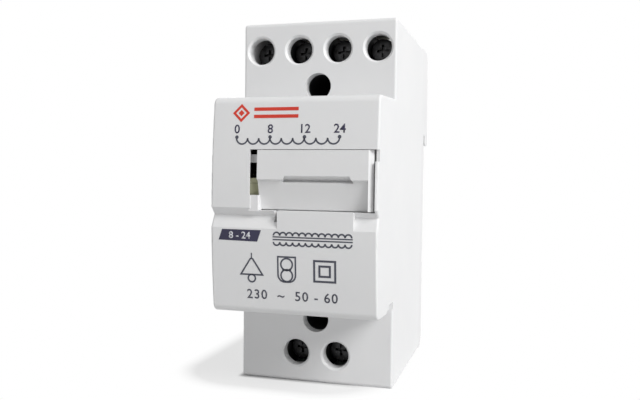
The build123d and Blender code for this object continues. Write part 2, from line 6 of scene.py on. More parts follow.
from __future__ import annotations

import logging
import math
from abc import ABC, abstractmethod
from collections.abc import Callable, Iterator
from contextlib import contextmanager
from dataclasses import dataclass, field
from enum import Enum

import bpy
from bpy.types import Material, Node, NodeSocket, NodeTree, Object
from mathutils import Matrix, Vector
from mathutils.bvhtree import BVHTree

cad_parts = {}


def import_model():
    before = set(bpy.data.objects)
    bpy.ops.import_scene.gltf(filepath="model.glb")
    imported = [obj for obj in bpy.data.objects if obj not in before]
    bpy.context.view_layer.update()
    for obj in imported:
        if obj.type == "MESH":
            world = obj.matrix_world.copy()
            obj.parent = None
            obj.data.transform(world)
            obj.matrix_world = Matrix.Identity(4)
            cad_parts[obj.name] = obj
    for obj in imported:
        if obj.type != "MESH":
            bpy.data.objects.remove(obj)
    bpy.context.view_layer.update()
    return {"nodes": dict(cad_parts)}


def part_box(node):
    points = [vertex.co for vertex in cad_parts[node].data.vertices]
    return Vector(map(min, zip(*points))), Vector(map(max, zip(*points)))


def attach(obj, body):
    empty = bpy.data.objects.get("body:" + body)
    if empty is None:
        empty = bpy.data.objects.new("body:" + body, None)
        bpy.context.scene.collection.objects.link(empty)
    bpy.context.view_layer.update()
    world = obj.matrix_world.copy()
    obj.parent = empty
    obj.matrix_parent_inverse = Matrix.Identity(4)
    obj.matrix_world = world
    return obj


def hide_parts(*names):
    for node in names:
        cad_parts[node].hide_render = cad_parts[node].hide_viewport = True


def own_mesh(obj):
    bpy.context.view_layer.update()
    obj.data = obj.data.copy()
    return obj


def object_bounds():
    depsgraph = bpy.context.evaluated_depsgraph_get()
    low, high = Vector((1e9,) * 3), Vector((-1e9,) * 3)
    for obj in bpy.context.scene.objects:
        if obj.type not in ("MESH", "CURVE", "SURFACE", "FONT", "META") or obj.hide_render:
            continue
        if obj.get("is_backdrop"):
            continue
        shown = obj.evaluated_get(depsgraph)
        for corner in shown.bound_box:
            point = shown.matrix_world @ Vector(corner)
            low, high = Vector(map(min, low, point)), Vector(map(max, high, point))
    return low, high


LOG = logging.getLogger("bell_transformer")
MM = 0.001
PLASTIC_IOR = 1.5
GLOW_RADIUS = (0.0012, 0.0011, 0.001)
GLOW_SCALE = 0.5
LACQUER_ROUGHNESS = 0.12
SMOOTH = "SMOOTHSTEP"
FACE_FRONT = (math.pi / 2, 0, 0)
EVEN_ANGLE = 30.0
ROUND_ANGLE = 35.0

Colour = tuple[float, float, float]
Point = tuple[float, float]


class Grain(Enum):
    """How fine a moulded surface is, as grains per metre."""

    FINE = 5200.0
    SATIN = 9000.0


class Run(Enum):
    """Direction in which wires, laps or laminations follow one another."""

    ALONG_Y = (0.0, 1.0, 0.0)
    ALONG_Z = (0.0, 0.0, 1.0)


@dataclass(frozen=True)
class Wiring:
    """A node tree, with the steps that add nodes to it and link them."""

    tree: NodeTree

    def add(self, kind: str, **values: object) -> Node:
        """Adds a node and sets its properties.

        Args:
            kind: Node type.
            **values: Properties by name.

        Returns:
            The new node.
        """
        node = self.tree.nodes.new(kind)
        for name, value in values.items():
            setattr(node, name, value)
        return node

    def join(self, value: NodeSocket | float | tuple[float, ...], end: NodeSocket) -> None:
        """Links an output to an input, or sets the input to a plain value.

        Args:
            value: The output or the value.
            end: The input.
        """
        if isinstance(value, NodeSocket):
            self.tree.links.new(value, end)
        else:
            end.default_value = value

    def feed(self, node: Node, inputs: dict[str, object]) -> Node:
        """Joins several inputs of a node.

        Args:
            node: The node.
            inputs: Outputs or values by the inputs' names.

        Returns:
            The node.
        """
        for name, value in inputs.items():
            self.join(value, node.inputs[name])
        return node

    def _operate(self, kind: str, operation: str, values: tuple[object, ...]) -> Node:
        """Adds a math node of one kind with its operands.

        Args:
            kind: Node type.
            operation: Name of the operation.
            values: Its operands.

        Returns:
            The node.
        """
        node = self.add(kind, operation=operation)
        for value, end in zip(values, node.inputs):
            self.join(value, end)
        return node

    def number(self, operation: str, *values: NodeSocket | float) -> NodeSocket:
        """Result of an operation on numbers."""
        return self._operate("ShaderNodeMath", operation, values).outputs[0]

    def vector(self, operation: str, *values: NodeSocket | tuple[float, ...]) -> NodeSocket:
        """Result of an operation on vectors, which is a number for a length or a dot product."""
        output = "Value" if operation in ("LENGTH", "DOT_PRODUCT") else "Vector"
        return self._operate("ShaderNodeVectorMath", operation, values).outputs[output]

    def scaled(
        self, value: NodeSocket, low: float, high: float, start: float = 0.0, end: float = 1.0,
        shape: str = "LINEAR",
    ) -> NodeSocket:
        """Spreads a value between two numbers.

        Args:
            value: The value.
            low: Result at the start.
            high: Result at the end.
            start: Value that gives the low result.
            end: Value that gives the high result.
            shape: LINEAR, or SMOOTH for soft ends.

        Returns:
            The result's socket.
        """
        inputs = {"Value": value, "From Min": start, "From Max": end, "To Min": low, "To Max": high}
        return self.feed(self.add("ShaderNodeMapRange", interpolation_type=shape), inputs).outputs["Result"]

    def noise(self, place: NodeSocket, scale: float | NodeSocket, detail: float) -> NodeSocket:
        """Mask of a noise pattern with a number of features per metre and octaves of detail."""
        inputs = {"Vector": place, "Scale": scale, "Detail": detail}
        return self.feed(self.add("ShaderNodeTexNoise"), inputs).outputs["Fac"]

    def place(self, **inputs: object) -> NodeSocket:
        """The object's own coordinates, shifted by Location and stretched by Scale if they are given.

        Args:
            **inputs: Location or Scale of a Mapping node.

        Returns:
            The coordinates' socket.
        """
        place = self.add("ShaderNodeTexCoord").outputs["Object"]
        if not inputs:
            return place
        return self.feed(self.add("ShaderNodeMapping"), {"Vector": place, **inputs}).outputs["Vector"]


class SurfaceGroup(ABC):
    """A shader group over the object's coordinates."""

    name: str
    inputs: dict[str, float | tuple[float, ...]]

    @abstractmethod
    def fill(self, wires: Wiring, given: dict[str, NodeSocket]) -> dict[str, NodeSocket]:
        """Adds the group's nodes.

        Args:
            wires: The group's tree.
            given: Sockets of the group's inputs.

        Returns:
            The group's outputs by name.
        """

    def build(self) -> NodeTree:
        """Builds the group.

        Returns:
            The group's tree.
        """
        wires = Wiring(bpy.data.node_groups.new(self.name, "ShaderNodeTree"))
        sockets = wires.tree.interface
        for name, value in self.inputs.items():
            kind = "NodeSocketFloat" if isinstance(value, float) else "NodeSocketVector"
            sockets.new_socket(name=name, in_out="INPUT", socket_type=kind).default_value = value
        results = self.fill(wires, wires.add("NodeGroupInput").outputs)
        for name in results:
            sockets.new_socket(name=name, in_out="OUTPUT", socket_type="NodeSocketFloat")
        wires.feed(wires.add("NodeGroupOutput"), results)
        return wires.tree


class MouldedSurface(SurfaceGroup):
    """Moulded plastic: fine grain, slow flow marks and patches of polish."""

    name = "moulded_surface"
    inputs = {"Grain": Grain.FINE.value, "Flow": 70.0}
    wave_height = 2.6
    patches = 260.0

    def fill(self, wires: Wiring, given: dict[str, NodeSocket]) -> dict[str, NodeSocket]:
        """Makes Height of grain and waves, Tone of the waves and Polish of the patches.

        Args:
            wires: The group's tree.
            given: Sockets of the group's inputs.

        Returns:
            The group's outputs by name.
        """
        place = wires.place()
        fine = wires.noise(place, given["Grain"], 2.0)
        slow = wires.noise(place, given["Flow"], 3.0)
        patches = wires.noise(place, self.patches, 4.0)
        return {
            "Height": wires.number("ADD", fine, wires.scaled(slow, 0.0, self.wave_height)),
            "Tone": wires.scaled(slow, 0.0, 1.0),
            "Polish": wires.scaled(patches, 0.0, 1.0),
        }


class MetalSurface(SurfaceGroup):
    """Plated or drawn metal: brush lines, stains and small dents."""

    name = "metal_surface"
    inputs = {"Lines": 9000.0, "Stains": 700.0}
    stretch = (1.0, 0.12, 0.35)
    stain_edge = (0.42, 0.72)

    def fill(self, wires: Wiring, given: dict[str, NodeSocket]) -> dict[str, NodeSocket]:
        """Makes Height of lines and stains, Stain of the stains and Brush of the lines.

        Args:
            wires: The group's tree.
            given: Sockets of the group's inputs.

        Returns:
            The group's outputs by name.
        """
        lines = wires.noise(wires.place(Scale=self.stretch), given["Lines"], 3.0)
        stains = wires.noise(wires.place(), given["Stains"], 5.0)
        return {
            "Height": wires.number("ADD", lines, stains),
            "Stain": wires.scaled(stains, 0.0, 1.0, *self.stain_edge, SMOOTH),
            "Brush": lines,
        }


class WoundLayers(SurfaceGroup):
    """Wires, tape laps and laminations that follow one another along a line."""

    name = "wound_layers"
    inputs = {"Pitch": 0.0005, "Direction": Run.ALONG_Z.value}
    edge_depth = -3.0
    joint_and_shade_edge = (0.16, 0.25)

    def fill(self, wires: Wiring, given: dict[str, NodeSocket]) -> dict[str, NodeSocket]:
        """Makes a round Height over each layer, a random Layer value and a JointAndShade mask at the edges
        between two layers, which carries the dark joint and painted crevice shade.

        Args:
            wires: The group's tree.
            given: Sockets of the group's inputs.

        Returns:
            The group's outputs by name.
        """
        along = wires.vector("DOT_PRODUCT", wires.place(), given["Direction"])
        count = wires.number("DIVIDE", along, given["Pitch"])
        centred = wires.number("SUBTRACT", wires.number("FRACT", count), 0.5)
        squared = wires.number("MULTIPLY", centred, centred)
        random = wires.add("ShaderNodeTexWhiteNoise", noise_dimensions="1D")
        wires.join(wires.number("FLOOR", count), random.inputs["W"])
        return {
            "Height": wires.scaled(squared, 1.0, self.edge_depth),
            "Layer": random.outputs["Value"],
            "JointAndShade": wires.scaled(squared, 0.0, 1.0, *self.joint_and_shade_edge, SMOOTH),
        }


class Groups:
    """The shader groups, each built once."""

    def __init__(self) -> None:
        """Builds every group."""
        self.moulded = MouldedSurface().build()
        self.metal = MetalSurface().build()
        self.wound = WoundLayers().build()


@dataclass(frozen=True)
class Bench(Wiring):
    """A new material with its shader, ready for a finish to fill in."""

    material: Material
    shader: Node

    def group(self, tree: NodeTree, **inputs: object) -> dict[str, NodeSocket]:
        """Outputs of a shader group that is placed with some inputs."""
        return self.feed(self.add("ShaderNodeGroup", node_tree=tree), inputs).outputs

    def blend(self, mask: NodeSocket, low: Colour | NodeSocket, high: Colour) -> NodeSocket:
        """Mixes two colours by a mask.

        Args:
            mask: The mask.
            low: Colour where the mask is 0.
            high: Colour where the mask is 1.

        Returns:
            The colour's socket.
        """
        start = low if isinstance(low, NodeSocket) else (*low, 1.0)
        mix = self.add("ShaderNodeMix", data_type="RGBA")
        return self.feed(mix, {"Factor": mask, "A": start, "B": (*high, 1.0)}).outputs["Result"]

    def relief(self, height: NodeSocket, depth: float) -> None:
        """Bumps the surface by a height of 0 to 1 and a depth in metres."""
        bump = self.feed(self.add("ShaderNodeBump"), {"Height": height, "Distance": depth})
        self.join(bump.outputs["Normal"], self.shader.inputs["Normal"])


def new_bench(name: str) -> Bench:
    """Makes an empty material with a Principled shader.

    Args:
        name: Name of the material.

    Returns:
        The material, its tree and its shader.
    """
    material = bpy.data.materials.new(name)
    material.use_nodes = True
    return Bench(material.node_tree, material, material.node_tree.nodes["Principled BSDF"])


@dataclass(frozen=True)
class Plastic:
    """A moulded or printed plastic finish."""

    name: str
    low: Colour
    high: Colour
    smooth: float = 0.38
    rough: float = 0.5
    grain: Grain = Grain.FINE
    depth: float = 0.000012
    glow: float = 0.0

    def make(self, groups: Groups) -> Material:
        """Builds the material.

        Args:
            groups: The shader groups.

        Returns:
            The material.
        """
        bench = new_bench(self.name)
        surface = bench.group(groups.moulded, Grain=self.grain.value)
        bench.feed(bench.shader, {
            "Base Color": bench.blend(surface["Tone"], self.low, self.high),
            "Roughness": bench.scaled(surface["Polish"], self.smooth, self.rough),
            "IOR": PLASTIC_IOR,
        })
        if self.glow:
            bench.feed(bench.shader, {
                "Subsurface Weight": self.glow,
                "Subsurface Radius": GLOW_RADIUS,
                "Subsurface Scale": GLOW_SCALE,
            })
        bench.relief(surface["Height"], self.depth)
        return bench.material


@dataclass(frozen=True)
class Metal:
    """A plated or drawn metal finish."""

    name: str
    bright: Colour
    stained: Colour
    smooth: float = 0.24
    rough: float = 0.46
    lines: float = 9000.0
    depth: float = 0.000014

    def make(self, groups: Groups) -> Material:
        """Builds the material.

        Args:
            groups: The shader groups.

        Returns:
            The material.
        """
        bench = new_bench(self.name)
        surface = bench.group(groups.metal, Lines=self.lines)
        bench.feed(bench.shader, {
            "Base Color": bench.blend(surface["Stain"], self.bright, self.stained),
            "Roughness": bench.scaled(surface["Brush"], self.smooth, self.rough),
            "Metallic": 1.0,
        })
        bench.relief(surface["Height"], self.depth)
        return bench.material


@dataclass(frozen=True)
class Wound:
    """A finish of wires, tape laps or stacked sheets."""

    name: str
    low: Colour
    high: Colour
    joint_and_shade: Colour
    pitch: float
    run: Run
    depth: float
    metallic: float = 0.0
    smooth: float = 0.2
    rough: float = 0.4
    lacquer: float = 0.0
    grain: float = 2400.0
    flow: float = 240.0

    def make(self, groups: Groups) -> Material:
        """Builds the material.

        Args:
            groups: The shader groups.

        Returns:
            The material.
        """
        bench = new_bench(self.name)
        layers = bench.group(groups.wound, Pitch=self.pitch, Direction=self.run.value)
        surface = bench.group(groups.moulded, Grain=self.grain, Flow=self.flow)
        body = bench.blend(layers["Layer"], self.low, self.high)
        bench.feed(bench.shader, {
            # The joint colour darkens each layer's edges: a real dark joint between laminations, and painted
            # shade in the crevices between round wires and tape laps.
            "Base Color": bench.blend(layers["JointAndShade"], body, self.joint_and_shade),
            "Roughness": bench.scaled(surface["Tone"], self.smooth, self.rough),
            "Metallic": self.metallic,
            "Coat Weight": self.lacquer,
            "Coat Roughness": LACQUER_ROUGHNESS,
        })
        bench.relief(layers["Height"], self.depth)
        return bench.material

class Finishes:
    """Every finish of the transformer, built once and given out by name."""

    housing = Plastic("housing_plastic", (0.775, 0.778, 0.785), (0.815, 0.816, 0.818), glow=0.06)
    insert = Plastic("insert_plastic", (0.77, 0.772, 0.778), (0.815, 0.815, 0.815), 0.34, 0.46, glow=0.06)
    base = Plastic("base_plastic", (0.76, 0.763, 0.77), (0.805, 0.806, 0.808), 0.42, 0.56, glow=0.05)
    latch = Plastic("latch_plastic", (0.50, 0.51, 0.52), (0.57, 0.575, 0.58), 0.3, 0.42, Grain.SATIN)
    carrier = Plastic("carrier_plastic", (0.012, 0.012, 0.013), (0.024, 0.024, 0.025), 0.4, 0.6)
    bobbin = Plastic("bobbin_plastic", (0.016, 0.015, 0.014), (0.035, 0.033, 0.031), 0.35, 0.55)
    fuse = Plastic("fuse_coating", (0.66, 0.63, 0.56), (0.76, 0.73, 0.67), 0.2, 0.34, Grain.SATIN)
    secondary_lead = Plastic("red_lead", (0.46, 0.022, 0.018), (0.60, 0.04, 0.03), 0.25, 0.38, Grain.SATIN)
    mains_lead = Plastic("brown_lead", (0.13, 0.06, 0.03), (0.2, 0.095, 0.05), 0.25, 0.38, Grain.SATIN)
    navy_ink = Plastic("navy_ink", (0.016, 0.014, 0.044), (0.026, 0.023, 0.066), 0.35, 0.5, Grain.SATIN)
    slate_ink = Plastic("slate_ink", (0.045, 0.048, 0.068), (0.07, 0.074, 0.1), 0.35, 0.5, Grain.SATIN)
    red_ink = Plastic("red_ink", (0.58, 0.028, 0.014), (0.70, 0.05, 0.022), 0.35, 0.5, Grain.SATIN)
    pale_ink = Plastic("pale_ink", (0.62, 0.63, 0.68), (0.74, 0.75, 0.78), 0.35, 0.5, Grain.SATIN)
    # The screw colours are near black: painted shade of the deep wells the screws sit in, far darker than
    # plated steel.
    terminal_screw = Metal("terminal_screw_steel_painted_shade", (0.055, 0.055, 0.057), (0.03, 0.029, 0.028), 0.36, 0.55)
    carrier_screw = Metal("carrier_screw_steel_painted_shade", (0.05, 0.05, 0.052), (0.028, 0.028, 0.028), 0.36, 0.55)
    cage = Metal("cage_steel", (0.62, 0.615, 0.59), (0.42, 0.40, 0.34))
    tag = Metal("tag_tinned_brass", (0.74, 0.71, 0.64), (0.56, 0.50, 0.38), 0.2, 0.38)
    spring = Metal("spring_wire", (0.56, 0.56, 0.565), (0.36, 0.35, 0.34), 0.18, 0.34, 14000.0)
    core = Wound(
        "core_laminations", (0.16, 0.165, 0.175), (0.26, 0.262, 0.268), (0.03, 0.025, 0.02),
        0.5 * MM, Run.ALONG_Y, 0.00006, 0.75, 0.4, 0.62,
    )
    winding = Wound(
        "enamelled_copper", (0.52, 0.19, 0.07), (0.66, 0.27, 0.11), (0.12, 0.035, 0.012),
        0.32 * MM, Run.ALONG_Z, 0.00012, 0.85, 0.24, 0.36, 0.8,
    )
    tape = Wound(
        "coil_tape", (0.72, 0.72, 0.47), (0.79, 0.79, 0.53), (0.56, 0.56, 0.36),
        2.3 * MM, Run.ALONG_Z, 0.00005, 0.0, 0.2, 0.36, 0.5,
    )

    def __init__(self, groups: Groups) -> None:
        """Builds each finish's material.

        Args:
            groups: The shader groups.
        """
        self._made = {
            name: finish.make(groups)
            for name, finish in vars(Finishes).items()
            if isinstance(finish, (Plastic, Metal, Wound))
        }

    def __getitem__(self, name: str) -> Material:
        """The material of a finish."""
        return self._made[name]


def deselect() -> None:
    """Leaves nothing selected."""
    bpy.ops.object.select_all(action="DESELECT")


def take_up(piece: Object) -> None:
    """Selects one piece and makes it active."""
    deselect()
    piece.select_set(True)
    bpy.context.view_layer.objects.active = piece


def added(name: str) -> Object:
    """Names the primitive that was just added.

    Args:
        name: Name of the piece.

    Returns:
        The new object.
    """
    piece = bpy.context.active_object
    piece.name = name
    piece.data.name = name
    return piece


def settle(piece: Object) -> None:
    """Puts a piece's place, turn and scale into its mesh."""
    take_up(piece)
    bpy.ops.object.transform_apply(location=True, rotation=True, scale=True)


def apply_modifier(piece: Object, kind: str, **values: object) -> None:
    """Adds a modifier and applies it.

    Args:
        piece: The piece to change.
        kind: Modifier type.
        **values: The modifier's properties.
    """
    take_up(piece)
    modifier = piece.modifiers.new(kind.lower(), kind)
    for name, value in values.items():
        setattr(modifier, name, value)
    bpy.ops.object.modifier_apply(modifier=modifier.name)


def merge(name: str, pieces: list[Object]) -> Object:
    """Joins several meshes into one piece.

    Args:
        name: Name of the joined piece.
        pieces: The meshes, the first of which stays.

    Returns:
        The joined piece.
    """
    deselect()
    for piece in pieces:
        piece.select_set(True)
    bpy.context.view_layer.objects.active = pieces[0]
    if len(pieces) > 1:
        bpy.ops.object.join()
    pieces[0].name = name
    pieces[0].data.name = name
    return pieces[0]


def copied(piece: Object, name: str, shift: Vector) -> Object:
    """Copies a piece with a mesh of its own.

    Args:
        piece: The piece to copy.
        name: Name of the copy.
        shift: How far the copy stands from the first.

    Returns:
        The copy.
    """
    twin = piece.copy()
    twin.data = piece.data.copy()
    twin.name = name
    twin.data.name = name
    bpy.context.scene.collection.objects.link(twin)
    twin.location = shift
    settle(twin)
    return twin


def coat(piece: Object, material: Material) -> None:
    """Gives a piece one material."""
    piece.data.materials.clear()
    piece.data.materials.append(material)


@contextmanager
def editing(piece: Object, kind: str = "", chosen: Callable[..., bool] | None = None) -> Iterator[None]:
    """Opens a piece's mesh for editing, with everything or the chosen elements selected.

    Args:
        piece: The piece.
        kind: VERT, EDGE or FACE to change what is selected, or nothing.
        chosen: Says whether an element of that kind is selected.

    Yields:
        Nothing. The mesh stays open until the block ends.
    """
    take_up(piece)
    bpy.ops.object.mode_set(mode="EDIT")
    if kind:
        bpy.ops.mesh.select_mode(type=kind)
    bpy.ops.mesh.select_all(action="DESELECT" if chosen else "SELECT")
    if chosen:
        bpy.ops.object.mode_set(mode="OBJECT")
        mesh = piece.data
        for element in {"VERT": mesh.vertices, "EDGE": mesh.edges, "FACE": mesh.polygons}[kind]:
            element.select = chosen(element)
        bpy.ops.object.mode_set(mode="EDIT")
    yield
    bpy.ops.object.mode_set(mode="OBJECT")


def circle(name: str, sides: int, radius: float, place: tuple[float, ...], fill: str = "NOTHING") -> Object:
    """Adds a circle or polygon that faces the front.

    Args:
        name: Name of the mesh.
        sides: Number of its sides.
        radius: Radius of its corners.
        place: Its centre.
        fill: NOTHING for an outline or NGON for a face.

    Returns:
        The flat mesh.
    """
    deselect()
    bpy.ops.mesh.primitive_circle_add(
        vertices=sides, radius=radius, fill_type=fill, location=place, rotation=FACE_FRONT,
    )
    piece = added(name)
    settle(piece)
    return piece


def wind(outline: Object, pitch: float, turns: int, steps: int, **values: object) -> None:
    """Winds an outline around Z into a coil with closed ends.

    Args:
        outline: The outline.
        pitch: Rise of a turn.
        turns: Number of turns.
        steps: Steps of a turn.
        **values: Further properties of the modifier.
    """
    apply_modifier(
        outline, "SCREW", axis="Z", screw_offset=pitch, iterations=turns, steps=steps,
        render_steps=steps, use_merge_vertices=False, **values,
    )
    with editing(outline):
        bpy.ops.mesh.fill_holes(sides=0)
        bpy.ops.mesh.normals_make_consistent(inside=False)


def repeat(piece: Object, count: int, pitch: float) -> None:
    """Repeats a piece along X.

    Args:
        piece: The piece.
        count: How many there are in all.
        pitch: Distance from one to the next.
    """
    apply_modifier(
        piece, "ARRAY", count=count, use_relative_offset=False, use_constant_offset=True,
        constant_offset_displace=(pitch, 0, 0),
    )


def prism(name: str, outline: list[Point], left: float, right: float) -> Object:
    """Extrudes an outline along X.

    Args:
        name: Name of the mesh.
        outline: Corners (Y, Z).
        left: X of its left end.
        right: X of its right end.

    Returns:
        The closed mesh.
    """
    deselect()
    bpy.ops.mesh.primitive_circle_add(vertices=len(outline), radius=1.0, fill_type="NGON")
    piece = added(name)
    for vertex, (y, z) in zip(piece.data.vertices, outline):
        vertex.co = (left, y, z)
    with editing(piece):
        bpy.ops.mesh.extrude_region_move(TRANSFORM_OT_translate={"value": (right - left, 0, 0)})
        bpy.ops.mesh.select_all(action="SELECT")
        bpy.ops.mesh.normals_make_consistent(inside=False)
    return piece


def combine(piece: Object, tool: Object, operation: str) -> None:
    """Cuts a tool out of a piece or adds it, and removes the tool.

    Args:
        piece: The piece to change.
        tool: The other mesh.
        operation: DIFFERENCE or UNION.
    """
    apply_modifier(piece, "BOOLEAN", operation=operation, object=tool, solver="EXACT")
    bpy.data.objects.remove(tool)


def clean_up(piece: Object, distance: float, angle: float) -> None:
    """Merges near vertices and dissolves edges within flat faces, after cuts.

    Args:
        piece: The piece.
        distance: Distance within which vertices merge.
        angle: Angle in degrees up to which a face counts as flat.
    """
    with editing(piece):
        bpy.ops.mesh.remove_doubles(threshold=distance)
        bpy.ops.mesh.dissolve_limited(angle_limit=math.radians(angle))


def shade_evenly(piece: Object, angle: float) -> None:
    """Smooths a piece's rounds and keeps its flat faces even.

    Args:
        piece: The piece.
        angle: Sharpest angle in degrees that is still smoothed.
    """
    take_up(piece)
    bpy.ops.object.shade_smooth_by_angle(angle=math.radians(angle))
    apply_modifier(piece, "WEIGHTED_NORMAL", keep_sharp=True, weight=80)


def finish_piece(piece: Object, body: str, nodes: list[str]) -> None:
    """Hands a finished piece to the frame.

    Args:
        piece: The piece.
        body: Body it moves with.
        nodes: Nodes that it stands for.
    """
    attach(piece, body)
    if nodes:
        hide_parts(*nodes)
    LOG.info("%s: %d faces, on %s", piece.name, len(piece.data.polygons), body)


@dataclass(frozen=True)
class Crown:
    """The nose's crowned front."""

    front: float = 60.5 * MM
    rise: float = 1.5 * MM
    half: float = 22.45 * MM
    steps: int = 5

    def at(self, z: float) -> float:
        """Y of the nose's face at a height."""
        return -self.front - self.rise * (1 - (z / self.half) ** 2)

    def arc(self, start: float, end: float, inset: float = 0.0) -> list[Point]:
        """Points (Y, Z) along the face between two heights, or behind it by an inset."""
        heights = [start + (end - start) * i / self.steps for i in range(self.steps + 1)]
        return [(self.at(z) + inset, z) for z in heights]


@dataclass
class Cover:
    """The front cover, with the slit beside the blank thinned and closed at its foot."""

    finishes: Finishes
    crown: Crown = Crown()
    slit: tuple[float, float] = (-9.0 * MM, -7.35 * MM)
    top: float = 11.6 * MM
    foot: float = 2.2 * MM
    bottom: float = -1.1 * MM
    edge: float = 0.4 * MM
    trim: float = 0.2 * MM
    relief: float = 1.6 * MM
    back: float = 2.6 * MM
    rib: tuple[float, float] = (8.9 * MM, 10.6 * MM)
    rib_inset: float = 1.7 * MM
    overlap: float = 0.2 * MM
    weld: float = 0.001 * MM

    def dress(self, node: Object) -> Object:
        """Copies the cover's mesh, hollows and trims the slit's edge, and adds its rib and sill.

        Args:
            node: The cover's node.

        Returns:
            The dressed cover.
        """
        cover = copied(node, "housing_cover", Vector())
        with editing(cover):
            bpy.ops.mesh.remove_doubles(threshold=self.weld)
        bpy.ops.mesh.customdata_custom_splitnormals_clear()
        left, right = self.slit
        wall = left - self.relief
        low, high = self.rib
        for cut, top, bottom, inset, start, end in (
            (True, self.top, self.foot, self.edge, wall, left + self.overlap),
            (True, self.top, self.foot, -self.edge, left - self.trim, left + self.overlap),
            (False, high, low, self.rib_inset, wall - self.overlap, right),
            (False, self.foot, self.bottom, self.edge / 2, left - self.trim - self.overlap, right),
        ):
            block = self._block(top, bottom, inset, start, end)
            combine(cover, block, "DIFFERENCE" if cut else "UNION")
        shade_evenly(cover, EVEN_ANGLE)
        coat(cover, self.finishes["housing"])
        finish_piece(cover, "housing", ["front_cover"])
        return cover

    def _block(self, top: float, bottom: float, inset: float, left: float, right: float) -> Object:
        """Block behind the nose's face, between two heights.

        Args:
            top: Upper height.
            bottom: Lower height.
            inset: How far its front lies behind the face.
            left: X of its left end.
            right: X of its right end.

        Returns:
            The closed mesh.
        """
        behind = self.crown.at(self.foot) + self.back
        outline = [*self.crown.arc(top, bottom, inset), (behind, bottom), (behind, top)]
        return prism("slit_block", outline, left, right)


@dataclass
class TapeEnd:
    """Loose end of the coil's outer tape, seen through the slit beside the blank."""

    finishes: Finishes
    start: Point = (-7.0 * MM, -57.1 * MM)
    tip: Point = (-10.5 * MM, -59.5 * MM)
    thickness: float = 0.15 * MM
    clear: float = 0.1 * MM

    def dress(self) -> None:
        """Models the end as a strip that stands off the tape."""
        low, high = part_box("secondary_tape")
        deselect()
        bpy.ops.mesh.primitive_cube_add(size=1.0)
        strip = added("coil_tape_end")
        for vertex in strip.data.vertices:
            x, y = self.tip if vertex.co.x < 0 else self.start
            depth = self.thickness if vertex.co.y > 0 else 0.0
            height = high.z - self.clear if vertex.co.z > 0 else low.z + self.clear
            vertex.co = (x, y + depth, height)
        coat(strip, self.finishes["tape"])
        finish_piece(strip, "housing", [])


@dataclass
class Housing:
    """Base, latch, carriers, core and coil: pieces that keep their solids' shape."""

    finishes: Finishes
    coats: tuple[tuple[str, tuple[str, ...]], ...] = (
        ("base", ("rear_base",)),
        ("latch", ("rail_latch",)),
        ("carrier", ("upper_terminal_carrier", "lower_terminal_carrier")),
        ("bobbin", ("bobbin",)),
        ("core", ("core_e_stack", "core_i_stack")),
        ("winding", ("primary_winding", "secondary_winding")),
        ("tape", ("primary_tape", "secondary_tape")),
        ("fuse", ("thermal_fuse",)),
    )

    def dress(self, nodes: dict[str, Object]) -> None:
        """Coats the moulded pieces, the coil and the core.

        Args:
            nodes: The part's nodes by name.
        """
        for finish, names in self.coats:
            for name in names:
                coat(nodes[name], self.finishes[finish])
                LOG.info("%s: coated with %s", name, finish)


